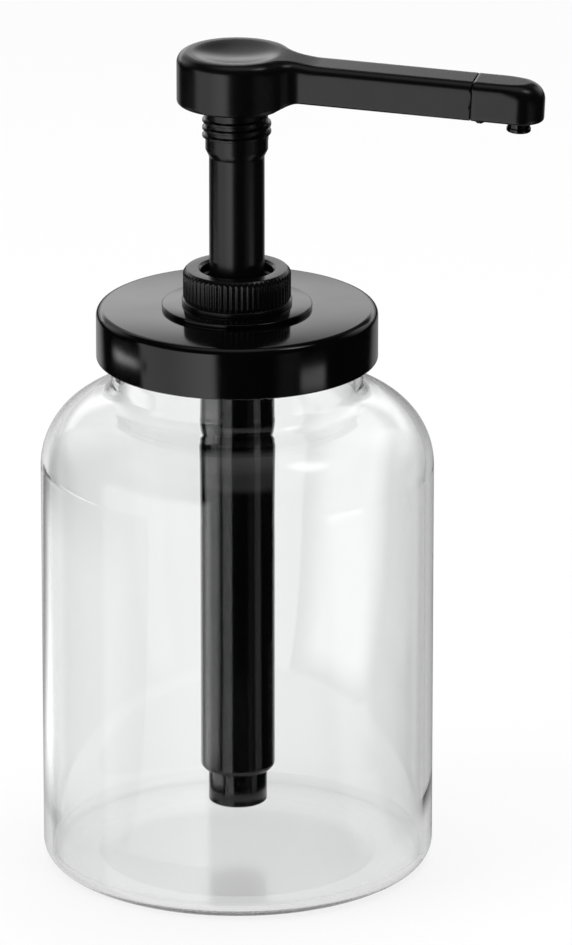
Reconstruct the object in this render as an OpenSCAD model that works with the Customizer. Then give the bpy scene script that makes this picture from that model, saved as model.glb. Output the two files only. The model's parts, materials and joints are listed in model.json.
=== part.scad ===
// Countertop syrup dispenser: a clear glass jar with a black lid that carries a plunger pump.
// The origin is the centre of the jar's base on the counter, +Z is up and the spout points along +X.

/* [Jar] */
// Outer radius of the jar's body
jar_r = 56; // [54:0.5:64]
// Thickness of the jar's wall
jar_wall = 2.4; // [2:0.1:3]
// Height of the jar's straight side
jar_side_h = 118; // [112:1:140]
// Radius of the rounded heel
heel_r = 5.5; // [4:0.5:7]
// Thickness of the jar's base
base_t = 2.6; // [2.2:0.1:4]
// Width of the flat ring that the jar stands on
foot_ring_w = 4.5; // [3:0.5:14]
// Rise of the base inside that ring
punt_h = 0.8; // [0.4:0.1:2]
// Steepness of the shoulder's straight run, from upright
shoulder_angle = 72; // [66:1:76]
// Length of the shoulder's straight run
shoulder_run = 3; // [2:0.5:5]
// Radius of the hollow curve between shoulder and neck
neck_fillet_r = 4; // [3:0.5:6]
// Outer radius of the neck
neck_r = 35.8; // [34:0.2:37]
// Height of the neck above the shoulder
neck_h = 18.2; // [16:0.2:22]

/* [Lid] */
// Gap between the neck and the inside of the lid's skirt
skirt_gap = 1.7; // [1.2:0.1:2]
// Thickness of the lid's skirt
skirt_wall = 2.5; // [1.8:0.1:2.8]
// Thickness of the lid's top plate
lid_t = 2.4; // [2:0.1:3]
// Height of the lid from the skirt's end to the top
lid_h = 14.8; // [13:0.2:16]
// Radius of the lid's rounded top edge
lid_edge_r = 2.2; // [1:0.1:3]
// Thickness of the soft ring on the glass rim
mouth_ring_t = 1.5; // [1:0.1:2]
// Width of the soft ring on the glass rim
mouth_ring_w = 3.2; // [2:0.1:4]
// Height of the soft seal in the lid's skirt
lid_seal_h = 4; // [3:0.2:5]
// Depth of the groove that holds the skirt seal
seal_groove = 0.6; // [0.4:0.1:0.8]

/* [Collar] */
// Radius of the flange washer on the lid
washer_r = 21.35; // [18:0.25:24]
// Thickness of the flange washer
washer_t = 1.3; // [1:0.1:2]
// Height of the collar nut
collar_h = 10.3; // [9:0.1:12]
// Radius of the collar nut over its ribs at the top
collar_top_r = 15.3; // [15:0.05:16]
// Radius of the collar nut at its plain lower band
collar_band_r = 15.65; // [15.4:0.05:16.4]
// Height of the plain lower band
collar_band_h = 1.6; // [1:0.1:2.4]
// Number of ribs round the collar nut
rib_count = 60; // [36:4:72]
// Height of a rib above the collar's wall
rib_h = 0.3; // [0.2:0.05:0.4]
// Thickness of the collar nut's lip over the bush
collar_lip_t = 2.9; // [2.2:0.1:3.4]
// Radius of the collar nut's open mouth
mouth_r = 10.3; // [10.1:0.1:10.8]
// Thread pitch, for the collar and for the lock thread
thread_pitch = 2.2; // [2:0.1:2.4]
// Core radius of the pump's outer neck thread
neck_core_r = 12.1; // [12:0.05:12.2]
// Height of the neck thread's ridge
ridge_h = 0.6; // [0.5:0.05:0.65]

/* [Pump cylinder] */
// Outer radius of the barrel
barrel_r = 10.65; // [10.3:0.05:10.9]
// Radius of the barrel's bore
bore_r = 8.9; // [8.8:0.05:9]
// Radius of the cylinder's flange under the lid
flange_r = 17; // [16:0.5:20]
// Thickness of the cylinder's flange
flange_t = 2.8; // [2:0.1:3.2]
// Thickness of the gasket on the flange
gasket_t = 1.2; // [0.8:0.1:1.6]
// Radius of the barrel's rounded lower corner
barrel_corner_r = 2; // [1:0.25:3]
// Thickness of the barrel's bottom
barrel_floor_t = 2.4; // [2:0.1:3]
// Radius of the vent hole near the barrel's top
vent_r = 0.8; // [0.6:0.1:1]

/* [Inlet foot] */
// Outer radius of the foot
foot_r = 8.4; // [8:0.1:8.6]
// Length of the foot below the barrel
foot_l = 9.8; // [8:0.2:12]
// Gap between the foot and the jar's floor
foot_gap = 13.1; // [8:0.1:16]
// Radius of the foot's inlet bore
inlet_r = 5; // [4.5:0.1:5.4]
// Radius of the spigot that enters the barrel
spigot_r = 6.4; // [6.2:0.1:7]
// Radius of the passage under the inlet ball
inlet_seat_r = 2.4; // [2:0.1:2.6]
// Radius of the inlet ball
inlet_ball_r = 4; // [3.8:0.1:4.4]
// Lift of the inlet ball to its cage
inlet_ball_lift = 1.6; // [1:0.1:2]

/* [Stem] */
// Outer radius of the stem
stem_r = 7.85; // [7.7:0.05:7.9]
// Radius of the stem's flow bore
stem_bore_r = 5; // [4.6:0.1:5.2]
// Length of the guide in the bush
guide_l = 12; // [10:0.5:14]
// Radius of the bore in the cylinder's neck, which holds the bush
neck_bore_r = 11; // [10.95:0.05:11.1]
// Root radius of the lock thread inside the bush
lock_root_r = 9.9; // [9.85:0.05:10]
// Height of the stem's stop shoulder
stop_h = 2.6; // [2:0.2:4]
// Free stroke of the pump, to just before the lock threads meet
stroke = 40; // [34:1:40]

/* [Piston and spring] */
// Height of the piston
piston_h = 12; // [10:0.5:14]
// Radius of the stem's lower end inside the piston
pin_r = 5.2; // [5:0.1:5.3]
// Height of the piston's soft cup seal
cup_h = 5; // [4:0.5:6]
// Depth of the groove that holds the cup seal
cup_groove = 1.6; // [1.2:0.1:1.8]
// Wire thickness of the return spring
wire_d = 1.2; // [1:0.1:1.4]
// Mean radius of the return spring
spring_r = 7.1; // [6.9:0.1:7.3]
// Number of turns of the return spring
spring_turns = 16; // [12:1:20]

/* [Outlet valve] */
// Radius of the outlet ball
outlet_ball_r = 3.2; // [3:0.1:3.4]
// Lift of the outlet ball to its cage
outlet_ball_lift = 1.4; // [1:0.1:2]
// Radius of the passage under the outlet ball
outlet_seat_r = 2; // [1.8:0.1:2.1]
// Length of the outlet seat insert
outlet_seat_h = 5; // [4.5:0.1:6]
// Height of the outlet cage insert
outlet_cage_h = 3; // [2:0.2:4]

/* [Pump head] */
// Radius of the press pad
pad_r = 16.9; // [15:0.1:18]
// Height of the press pad
pad_h = 14.8; // [13.5:0.1:17]
// Radius of the pad's rounded top edge
pad_edge_r = 3; // [2:0.25:4]
// Depth of the thumb dish in the pad
dish_h = 1.6; // [1:0.1:2.2]
// Radius of the thumb dish
dish_r = 12.5; // [10:0.5:13]
// Height of the lock boss under the pad
boss_h = 15.7; // [15:0.1:17]
// Core radius of the lock boss
boss_core_r = 8.85; // [8.7:0.05:8.9]
// Height of the lock thread's ridge on the boss
lock_ridge_h = 0.9; // [0.8:0.05:0.95]
// Number of turns of the lock thread on the boss
lock_turns = 3; // [2:0.5:3.5]
// Width of the spout arm
arm_w = 14; // [13:0.5:15]
// Height of the spout arm
arm_h = 10.9; // [10.2:0.1:12]
// Drop of the arm's top below the pad's top, at the axis
arm_drop = 0.9; // [0:0.1:2]
// Downward slope of the spout arm in degrees
arm_slope = 2.5; // [0:0.5:5]
// Length from the axis to the seam of the nozzle cap
seam_x = 68.2; // [60:0.1:80]
// Radius of the rounded long edges on top of the arm
arm_edge_r = 2.6; // [1.5:0.1:3]
// Radius of the hollow curve between pad and arm, seen from above
arm_fillet_r = 6.5; // [5:0.5:12]
// Wall of the arm's spigot between its flow channel and the seal's groove
channel_wall = 0.5; // [0.4:0.1:1]

/* [Nozzle] */
// Length of the cap from the seam to the centre of the outlet
cap_l = 12.8; // [11.6:0.2:16]
// Wall of the nozzle cap over the arm's spigot
cap_wall = 1.3; // [1.2:0.1:1.4]
// Length of the arm's spigot inside the cap
arm_spigot_l = 7; // [5:0.5:8]
// Radius of the cap's rounded top edge at its end
cap_edge_r = 3.6; // [2.6:0.2:4.4]
// Outer radius of the outlet tip
tip_r = 3.45; // [3.2:0.05:3.8]
// Radius of the outlet's bore
tip_bore_r = 2.3; // [2:0.1:2.5]
// Length of the outlet tip below the cap
tip_show = 3.5; // [3:0.1:5]
// Height of the grip rib under the cap
grip_h = 0.6; // [0.3:0.1:0.8]

/* [Fits] */
// Gap between pieces that are pressed together
seat_gap = 0.03; // [0.02:0.01:0.05]
// Running gap between pieces that slide or turn
run_gap = 0.08; // [0.05:0.01:0.1]
// Gap at rest between a loose piece and its seat
rest_gap = 0.1; // [0.05:0.05:0.2]

/* [Hidden] */
$fn = 96;
// Extra length of every cutter past the face that it cuts
cut = 1;
// Steps along a rounded corner of a profile
arc_steps = 10;
// Width of a thread's ridge at its root and at its crest
thread_root_w = 1;
thread_crest_w = 0.4;
// Chamfer that leads a piece into its thread or its seat
lead_in = 0.6;

// Glass: the hollow under the base reaches to the foot ring, and the shoulder's large curve
// fills what the straight run and the fillet leave
punt_r = jar_r - heel_r - foot_ring_w;
floor_z = base_t + punt_h;
shoulder_r = (jar_r - neck_r - shoulder_run * sin(shoulder_angle)) / (1 - cos(shoulder_angle))
           - neck_fillet_r;
neck_z = jar_side_h + (shoulder_r + neck_fillet_r) * sin(shoulder_angle)
       + shoulder_run * cos(shoulder_angle);
rim_z = neck_z + neck_h;
rim_r = jar_wall / 2;

// Lid and what is stacked on it
lid_seal_rise = 3;
lid_under_z = rim_z + mouth_ring_t;
lid_top_z = lid_under_z + lid_t;
lid_bottom_z = lid_top_z - lid_h;
lid_seal_z = lid_bottom_z + lid_seal_rise;
skirt_in_r = neck_r + skirt_gap;
lid_r = skirt_in_r + skirt_wall;
washer_top_z = lid_top_z + washer_t;
collar_top_z = washer_top_z + collar_h;
thread_gap = 0.15;
lid_hole_r = neck_core_r + ridge_h + thread_gap;
neck_thread_rise = 0.7;
neck_thread_z = washer_top_z + neck_thread_rise;
neck_thread_turns = 2;

// Pump cylinder
gasket_bottom_z = lid_under_z - gasket_t;
flange_bottom_z = gasket_bottom_z - flange_t;
bush_flange_t = 1.5;
neck_top_z = collar_top_z - collar_lip_t - bush_flange_t;
barrel_bottom_z = floor_z + foot_gap + foot_l;
foot_bottom_z = floor_z + foot_gap;
barrel_floor_z = barrel_bottom_z + barrel_floor_t;
neck_wall = 1.3;
flare_drop = 2;
flare_h = 3;

// Bush: guide below, seal pocket above it, lock thread on top
lock_thread_drop = 1.4;
lock_nut_turns = 2.5;
boss_taper_h = 2.1;
boss_plain_h = 2.9;
thread_meet_gap = 1.4;
lock_nut_top_z = collar_top_z - collar_lip_t - lock_thread_drop;
boss_thread_rise = boss_taper_h + boss_plain_h;
boss_bottom_z = lock_nut_top_z + thread_root_w + stroke + thread_meet_gap - boss_thread_rise;
pad_bottom_z = boss_bottom_z + boss_h;
pad_top_z = pad_bottom_z + pad_h;
lock_depth = boss_h + rest_gap * 6;
stem_seal_h = 1.6;
pocket_top_z = collar_top_z - lock_depth;
guide_top_z = pocket_top_z - stem_seal_h;
guide_bottom_z = guide_top_z - guide_l;
bush_r = neck_bore_r - seat_gap;
bush_drop = 0.3;
ledge_z = guide_bottom_z - bush_drop;

// Stem and piston, hung from the bush at rest
stop_r = bore_r - run_gap * 4;
stop_top_z = guide_bottom_z - rest_gap;
stop_bottom_z = stop_top_z - stop_h;
piston_top_z = stop_bottom_z - run_gap;
piston_bottom_z = piston_top_z - piston_h;
cup_seal_z = piston_bottom_z + (piston_h - cup_h) / 2;
piston_r = bore_r - run_gap;
pin_bead_h = 1.2;
pin_bead_r = pin_r + 0.45;
pin_wall = 1.6;
pin_bottom_z = piston_bottom_z - run_gap - pin_bead_h;
stem_spigot_step = 0.95;
stem_spigot_r = stem_r - stem_spigot_step;
stem_spigot_l = 12;

// Inlet valve: the ball stands on a 45 degree seat
spigot_show = 2.2;
spigot_wall = 1.2;
spigot_top_z = barrel_floor_z + spigot_show;
seat_mouth_r = spigot_r - spigot_wall;
seat_z = spigot_top_z - (seat_mouth_r - inlet_seat_r);
inlet_ball_z = seat_z - inlet_seat_r + inlet_ball_r * sqrt(2) + rest_gap;
cage_t = 1.6;
cage_z = inlet_ball_z + inlet_ball_r + inlet_ball_lift;
cage_top_z = cage_z + cage_t;
spring_bottom_z = cage_top_z;
spring_top_z = piston_bottom_z;

// Outlet valve in the stem's upper end
outlet_seat_drop = 4;
outlet_seat_wall = 0.8;
outlet_seat_z = boss_bottom_z - outlet_seat_drop;
outlet_seat_top_z = outlet_seat_z + outlet_seat_h;
outlet_mouth_r = stem_bore_r - outlet_seat_wall;
outlet_cone_z = outlet_seat_top_z - (outlet_mouth_r - outlet_seat_r);
outlet_ball_z = outlet_cone_z - outlet_seat_r + outlet_ball_r * sqrt(2) + rest_gap;
outlet_cage_z = outlet_ball_z + outlet_ball_r + outlet_ball_lift;

// Spout arm, in a frame that is tilted down about the axis at the arm's top
arm_top_z = pad_top_z - arm_drop;
channel_z = -arm_h / 2;
cap_end_r = arm_w / 2;
cap_end_x = seam_x + cap_l;
socket_r = arm_h / 2 - cap_wall;
arm_spigot_r = socket_r - run_gap;
ring_wire_r = 0.5;
ring_r = arm_spigot_r - ring_wire_r;
channel_r = ring_r - ring_wire_r - seat_gap - channel_wall;
ring_x = seam_x + arm_spigot_l / 2;
tip_press_l = 3.5;
tip_top_z = -arm_h + tip_press_l;

// Return spring: its turns close up at both ends
spring_steps = 8;
spring_sides = 6;
spring_n = spring_turns * spring_steps;
spring_rise = spring_top_z - spring_bottom_z - wire_d;
closed_pitch = wire_d + 0.7;
open_pitch = (spring_rise - 2 * closed_pitch) / (spring_turns - 2);

// Points along an arc, from angle a0 to a1
function arc(x, y, r, a0, a1, n = arc_steps) =
    [for (i = [0 : n]) [x + r * cos(a0 + (a1 - a0) * i / n), y + r * sin(a0 + (a1 - a0) * i / n)]];

// Turned piece from a profile of radius and height pairs
module turned(profile) {
    rotate_extrude() polygon(profile);
}

// Plain ring or tube between two heights
module tube(r_out, r_in, z0, z1) {
    translate([0, 0, z0]) difference() {
        cylinder(r = r_out, h = z1 - z0);
        translate([0, 0, -cut]) cylinder(r = r_in, h = z1 - z0 + 2 * cut);
    }
}

// Bore to cut, between two heights
module bore(r, z0, z1) {
    translate([0, 0, z0]) cylinder(r = r, h = z1 - z0);
}

// Helical ridge: it rises from a sunk root radius to a crest radius and fades in at both ends
module helix_ridge(root_r, crest_r, z0, turns, steps = 36) {
    n = floor(turns * steps);
    corners = 4;
    fade = steps / 4;
    least = 0.08;
    sink = 0.25;
    sunk = crest_r > root_r ? -sink : sink;
    function grow(i) = min(1, least + min(i, n - i) / fade);
    points = [for (i = [0 : n]) let (
            a = 360 * i / steps,
            z = z0 + thread_pitch * i / steps,
            rc = root_r + (crest_r - root_r) * grow(i),
            rr = root_r + sunk)
        each [
            [rr * cos(a), rr * sin(a), z - thread_root_w / 2],
            [rc * cos(a), rc * sin(a), z - thread_crest_w / 2],
            [rc * cos(a), rc * sin(a), z + thread_crest_w / 2],
            [rr * cos(a), rr * sin(a), z + thread_root_w / 2]]];
    quads = [for (i = [0 : n - 1], k = [0 : corners - 1]) let (
            a = corners * i,
            b = a + corners,
            next = (k + 1) % corners)
        [a + k, a + next, b + next, b + k]];
    walls = [for (q = quads) each [[q[0], q[1], q[2]], [q[0], q[2], q[3]]]];
    last = corners * n;
    caps = [[3, 2, 1], [3, 1, 0], [last, last + 1, last + 2], [last, last + 2, last + 3]];
    faces = concat(walls, caps);
    turned_out = [for (f = faces) [f[2], f[1], f[0]]];
    polyhedron(points = points, faces = crest_r > root_r ? faces : turned_out);
}

// Centre line and rings of the return spring's wire
function coil_z(i) = let (t = i / spring_steps)
    spring_bottom_z + wire_d / 2 + (t < 1 ? closed_pitch * t
        : t > spring_turns - 1 ? spring_rise - closed_pitch * (spring_turns - t)
        : closed_pitch + open_pitch * (t - 1));
function coil_point(i, k) = let (
        a = 360 * i / spring_steps,
        b = 360 * k / spring_sides,
        r = spring_r + wire_d / 2 * cos(b))
    [r * cos(a), r * sin(a), coil_z(i) + wire_d / 2 * sin(b)];
function coil_centre(i) = let (a = 360 * i / spring_steps)
    [spring_r * cos(a), spring_r * sin(a), coil_z(i)];
coil_gap = min([for (i = [0 : spring_n - spring_steps + 1])
    for (j = [i + spring_steps - 1 : min(i + spring_steps + 1, spring_n)])
        norm(coil_centre(i) - coil_centre(j))]) - wire_d;
echo(spring_least_gap = coil_gap);

// Clear blown glass jar, with a thin wall and a base that rises a little in the middle
module glass_jar() {
    in_heel_r = heel_r - jar_wall;
    floor_r = jar_r - heel_r;
    function rise(r, z, steps) = [for (k = steps) let (t = k / arc_steps)
        [r * t, z + punt_h * (1 - t * t) * (1 - t * t)]];
    outer = concat(
        rise(punt_r, 0, [0 : arc_steps]),
        arc(floor_r, heel_r, heel_r, -90, 0),
        arc(jar_r - shoulder_r, jar_side_h, shoulder_r, 0, shoulder_angle, 2 * arc_steps),
        arc(neck_r + neck_fillet_r, neck_z, neck_fillet_r, 180 + shoulder_angle, 180));
    rim = arc(neck_r - rim_r, rim_z - rim_r, rim_r, 0, 180);
    inner = concat(
        arc(neck_r + neck_fillet_r, neck_z, neck_fillet_r + jar_wall, 180, 180 + shoulder_angle),
        arc(jar_r - shoulder_r, jar_side_h, shoulder_r - jar_wall, shoulder_angle, 0, 2 * arc_steps),
        arc(floor_r, base_t + in_heel_r, in_heel_r, 0, -90),
        rise(floor_r, base_t, [arc_steps - 1 : -1 : 0]));
    color([0.86, 0.9, 0.9, 0.35]) turned(concat(outer, rim, inner));
}

// Push-on lid with a rounded top edge, a groove for its seal and a hole for the pump
module lid() {
    groove_z = lid_seal_z - seat_gap;
    groove_r = skirt_in_r + seal_groove;
    profile = concat(
        [[lid_hole_r, lid_under_z], [skirt_in_r, lid_under_z]],
        [[skirt_in_r, groove_z + lid_seal_h + 2 * seat_gap],
         [groove_r, groove_z + lid_seal_h + 2 * seat_gap],
         [groove_r, groove_z],
         [skirt_in_r, groove_z],
         [skirt_in_r, lid_bottom_z],
         [lid_r, lid_bottom_z]],
        arc(lid_r - lid_edge_r, lid_top_z - lid_edge_r, lid_edge_r, 0, 90),
        [[lid_hole_r, lid_top_z]]);
    color([0.05, 0.05, 0.055]) turned(profile);
}

// Soft skirt seal with two lips towards the glass
module lid_seal() {
    z = lid_seal_z;
    edge = 0.1;
    web_inset = 0.5;
    lip_r = neck_r + run_gap;
    web_r = skirt_in_r - web_inset;
    out_r = skirt_in_r + seal_groove - seat_gap;
    lip_h = lid_seal_h / 4;
    color([0.75, 0.75, 0.75]) turned([
        [web_r, z + edge],
        [out_r, z],
        [out_r, z + lid_seal_h],
        [web_r, z + lid_seal_h - edge],
        [lip_r, z + lid_seal_h - lip_h / 2],
        [web_r, z + lid_seal_h - lip_h * 1.5],
        [web_r, z + lip_h * 1.5],
        [lip_r, z + lip_h / 2]]);
}

// Soft ring that lies on the glass rim under the lid
module mouth_ring() {
    mid_r = neck_r - rim_r;
    color([0.75, 0.75, 0.75])
        tube(mid_r + mouth_ring_w / 2, mid_r - mouth_ring_w / 2, rim_z, lid_under_z);
}

// Wide thin washer between the lid and the collar nut
module flange_washer() {
    edge_r = 0.4;
    color([0.06, 0.06, 0.065]) turned(concat(
        [[lid_hole_r, lid_top_z], [washer_r, lid_top_z]],
        arc(washer_r - edge_r, washer_top_z - edge_r, edge_r, 0, 90, 4),
        [[lid_hole_r, washer_top_z]]));
}

// Soft gasket between the cylinder's flange and the lid
module flange_gasket() {
    color([0.75, 0.75, 0.75])
        tube(flange_r, lid_hole_r, gasket_bottom_z, lid_under_z);
}

// Ribbed nut that screws on the cylinder's neck and clamps the pump to the lid
module collar_nut() {
    wall_r = collar_top_r - rib_h;
    chamfer = 0.7;
    rib_w = 0.54;
    rib_bottom_z = washer_top_z + collar_band_h;
    rib_top_z = collar_top_z - chamfer;
    lip_z = collar_top_z - collar_lip_t;
    color([0.06, 0.06, 0.065]) {
        turned([
            [lid_hole_r, washer_top_z],
            [collar_band_r, washer_top_z],
            [collar_band_r, rib_bottom_z - rib_h],
            [wall_r, rib_bottom_z],
            [wall_r, rib_top_z],
            [wall_r - chamfer, collar_top_z],
            [mouth_r + chamfer, collar_top_z],
            [mouth_r, collar_top_z - chamfer],
            [mouth_r, lip_z],
            [lid_hole_r, lip_z]]);
        for (i = [0 : rib_count - 1])
            rotate([0, 0, 360 * i / rib_count])
                translate([wall_r - rib_h, -rib_w / 2, rib_bottom_z])
                    cube([2 * rib_h, rib_w, rib_top_z - rib_bottom_z - rib_h]);
        helix_ridge(lid_hole_r, lid_hole_r - ridge_h, neck_thread_z + thread_pitch / 2,
                    neck_thread_turns);
    }
}

// Barrel, flange and threaded neck in one moulding
module pump_cylinder() {
    wide_r = neck_bore_r + neck_wall;
    flare_z = ledge_z - flare_drop;
    inner_corner_r = barrel_corner_r / 2;
    color([0.05, 0.05, 0.055]) {
        difference() {
            turned(concat(
                [[spigot_r + seat_gap, barrel_floor_z], [spigot_r + seat_gap, barrel_bottom_z]],
                arc(barrel_r - barrel_corner_r, barrel_bottom_z + barrel_corner_r,
                    barrel_corner_r, -90, 0),
                [[barrel_r, flare_z - flare_h], [wide_r, flare_z],
                 [wide_r, flange_bottom_z], [flange_r, flange_bottom_z],
                 [flange_r, gasket_bottom_z], [neck_core_r, gasket_bottom_z],
                 [neck_core_r, neck_top_z], [neck_bore_r, neck_top_z],
                 [neck_bore_r, ledge_z], [bore_r, ledge_z]],
                arc(bore_r - inner_corner_r, barrel_floor_z + inner_corner_r,
                    inner_corner_r, 0, -90, 4)));
            translate([0, 0, stop_bottom_z + stop_h / 2]) rotate([0, 90, 180])
                cylinder(r = vent_r, h = wide_r + cut);
        }
        helix_ridge(neck_core_r, neck_core_r + ridge_h, neck_thread_z, neck_thread_turns);
    }
}

// Foot with the inlet bore and the ball's conical seat
module inlet_foot() {
    edge_r = 0.6;
    throat_h = 1.5;
    throat_z = barrel_bottom_z + throat_h / 3;
    color([0.05, 0.05, 0.055]) turned(concat(
        [[inlet_r, foot_bottom_z]],
        arc(foot_r - edge_r, foot_bottom_z + edge_r, edge_r, -90, 0, 4),
        [[foot_r, barrel_bottom_z], [spigot_r, barrel_bottom_z],
         [spigot_r, spigot_top_z], [seat_mouth_r, spigot_top_z],
         [inlet_seat_r, seat_z], [inlet_seat_r, throat_z], [inlet_r, throat_z - throat_h]]));
}

// Loose ball on the inlet seat
module inlet_ball() {
    color([0.8, 0.8, 0.82]) translate([0, 0, inlet_ball_z]) sphere(r = inlet_ball_r);
}

// Slotted cup over the inlet ball, on which the spring stands
module spring_seat() {
    cup_r = bore_r - seat_gap;
    wall_r = seat_mouth_r + 1.1;
    inner_r = inlet_ball_r + 0.6;
    hole_r = inlet_ball_r - 1.8;
    hub_r = spring_r - wire_d - 0.2;
    hub_h = 1.6;
    foot_z = spigot_top_z;
    foot_h = 1.2;
    slot_w = 2.4;
    slot_h = cage_z - foot_z - 1.5 * foot_h;
    drain_r = 1.2;
    color([0.9, 0.9, 0.88]) difference() {
        union() {
            tube(wall_r, inner_r, foot_z, cage_z + cut / 10);
            tube(cup_r, hole_r, cage_z, cage_top_z);
            tube(hub_r, hole_r, cage_z, cage_top_z + hub_h);
        }
        for (a = [0, 60, 120])
            rotate([0, 0, a]) translate([-cup_r - cut, -slot_w / 2, foot_z + foot_h])
                cube([2 * (cup_r + cut), slot_w, slot_h]);
        for (a = [30 : 60 : 330])
            rotate([0, 0, a]) translate([spring_r, 0, cage_z - cut])
                cylinder(r = drain_r, h = cage_t + 2 * cut);
    }
}

// Return spring between its seat and the piston
module return_spring() {
    points = [for (i = [0 : spring_n], k = [0 : spring_sides - 1]) coil_point(i, k)];
    walls = [for (i = [0 : spring_n - 1], k = [0 : spring_sides - 1]) let (
            a = spring_sides * i + k,
            b = spring_sides * i + (k + 1) % spring_sides)
        each [[a, b, b + spring_sides], [a, b + spring_sides, a + spring_sides]]];
    first = [for (k = [1 : spring_sides - 2]) [0, k + 1, k]];
    base = spring_sides * spring_n;
    last = [for (k = [1 : spring_sides - 2]) [base, base + k, base + k + 1]];
    color([0.75, 0.76, 0.78]) polyhedron(points = points, faces = concat(walls, first, last));
}

// Bush in the cylinder's neck: it guides and stops the stem and takes the lock thread
module stem_bush() {
    flange_top_z = collar_top_z - collar_lip_t;
    guide_r = stem_r + run_gap;
    lock_crest_r = boss_core_r + 0.45;
    color([0.08, 0.08, 0.085]) {
        turned([
            [guide_r, guide_bottom_z],
            [bush_r, guide_bottom_z],
            [bush_r, neck_top_z],
            [neck_core_r, neck_top_z],
            [neck_core_r, flange_top_z],
            [lock_root_r + lead_in, flange_top_z],
            [lock_root_r, flange_top_z - lead_in],
            [lock_root_r, guide_top_z],
            [guide_r, guide_top_z]]);
        helix_ridge(lock_root_r, lock_crest_r,
                    lock_nut_top_z - lock_nut_turns * thread_pitch, lock_nut_turns);
    }
}

// Soft wiper ring above the guide
module stem_seal() {
    color([0.75, 0.75, 0.75])
        tube(lock_root_r - seat_gap, stem_r + run_gap, guide_top_z, pocket_top_z);
}

// Piston that the stem snaps into and turns in
module piston() {
    groove_z = cup_seal_z;
    seal_r = piston_r - cup_groove;
    color([0.9, 0.9, 0.88]) turned([
        [pin_r + run_gap, piston_bottom_z],
        [piston_r, piston_bottom_z],
        [piston_r, groove_z],
        [seal_r, groove_z],
        [seal_r, groove_z + cup_h],
        [piston_r, groove_z + cup_h],
        [piston_r, piston_top_z],
        [pin_r + run_gap, piston_top_z]]);
}

// Soft cup seal in the piston's groove, with lips against the bore
module piston_seal() {
    z = cup_seal_z + seat_gap;
    h = cup_h - 2 * seat_gap;
    in_r = piston_r - cup_groove + seat_gap;
    lip_r = bore_r - run_gap / 2;
    lip_h = 0.6;
    lip_t = 0.4;
    waist_r = bore_r - 0.5;
    color([0.2, 0.2, 0.2]) turned([
        [in_r, z],
        [lip_r - lip_t, z],
        [lip_r, z + lip_h],
        [waist_r, z + h / 2],
        [lip_r, z + h - lip_h],
        [lip_r - lip_t, z + h],
        [in_r, z + h]]);
}

// Stem tube: snap end in the piston, stop shoulder, and spigot in the head
module stem() {
    flow_r = pin_r - pin_wall;
    seat_ledge = 0.4;
    main_r = stem_bore_r - seat_ledge;
    spigot_z = boss_bottom_z;
    color([0.05, 0.05, 0.055]) turned([
        [flow_r, pin_bottom_z],
        [pin_r, pin_bottom_z],
        [pin_bead_r, pin_bottom_z + pin_bead_h / 2],
        [pin_bead_r, pin_bottom_z + pin_bead_h],
        [pin_r, pin_bottom_z + pin_bead_h],
        [pin_r, stop_bottom_z],
        [stop_r, stop_bottom_z],
        [stop_r, stop_top_z],
        [stem_r, stop_top_z],
        [stem_r, spigot_z],
        [stem_spigot_r, spigot_z],
        [stem_spigot_r, spigot_z + stem_spigot_l],
        [stem_bore_r, spigot_z + stem_spigot_l],
        [stem_bore_r, outlet_seat_z],
        [main_r, outlet_seat_z],
        [main_r, stop_top_z],
        [flow_r, stop_bottom_z]]);
}

// Seat insert for the outlet ball
module outlet_seat() {
    color([0.9, 0.9, 0.88]) turned([
        [outlet_seat_r, outlet_seat_z],
        [stem_bore_r - seat_gap, outlet_seat_z],
        [stem_bore_r - seat_gap, outlet_seat_top_z],
        [outlet_mouth_r, outlet_seat_top_z],
        [outlet_seat_r, outlet_cone_z]]);
}

// Loose ball on the outlet seat
module outlet_ball() {
    color([0.8, 0.8, 0.82]) translate([0, 0, outlet_ball_z]) sphere(r = outlet_ball_r);
}

// Cross insert that stops the outlet ball
module outlet_cage() {
    ring_r = stem_bore_r - seat_gap;
    wall = 1;
    bar_w = 1.4;
    color([0.9, 0.9, 0.88]) {
        tube(ring_r, ring_r - wall, outlet_cage_z, outlet_cage_z + outlet_cage_h);
        for (a = [0, 90])
            rotate([0, 0, a]) translate([wall / 2 - ring_r, -bar_w / 2, outlet_cage_z])
                cube([2 * ring_r - wall, bar_w, outlet_cage_h / 2]);
    }
}

// Places a child in the arm's tilted frame: x along the arm, z = 0 at its top
module in_arm() {
    translate([0, 0, arm_top_z]) rotate([0, arm_slope, 0]) children();
}

// Bar along the arm with rounded long edges on top
module arm_bar(x0, x1, w, h, edge_r, top = 0) {
    hull() {
        for (s = [-1, 1])
            translate([x0, s * (w / 2 - edge_r), top - edge_r]) rotate([0, 90, 0])
                cylinder(r = edge_r, h = x1 - x0, $fn = 32);
        translate([x0, -w / 2, top - h]) cube([x1 - x0, w, h / 2]);
    }
}

// Hollow corner between the round pad and the arm, one side, seen from above
module arm_corner() {
    half = arm_w / 2;
    reach = pad_r + arm_fillet_r;
    centre_x = sqrt(reach * reach - (half + arm_fillet_r) * (half + arm_fillet_r));
    pad_angle = atan2(half + arm_fillet_r, centre_x);
    polygon(concat(
        [[0, 0]],
        [[pad_r * cos(pad_angle), pad_r * sin(pad_angle)]],
        arc(centre_x, half + arm_fillet_r, arm_fillet_r, 180 + pad_angle, 270),
        [[centre_x, 0]]));
}

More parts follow.
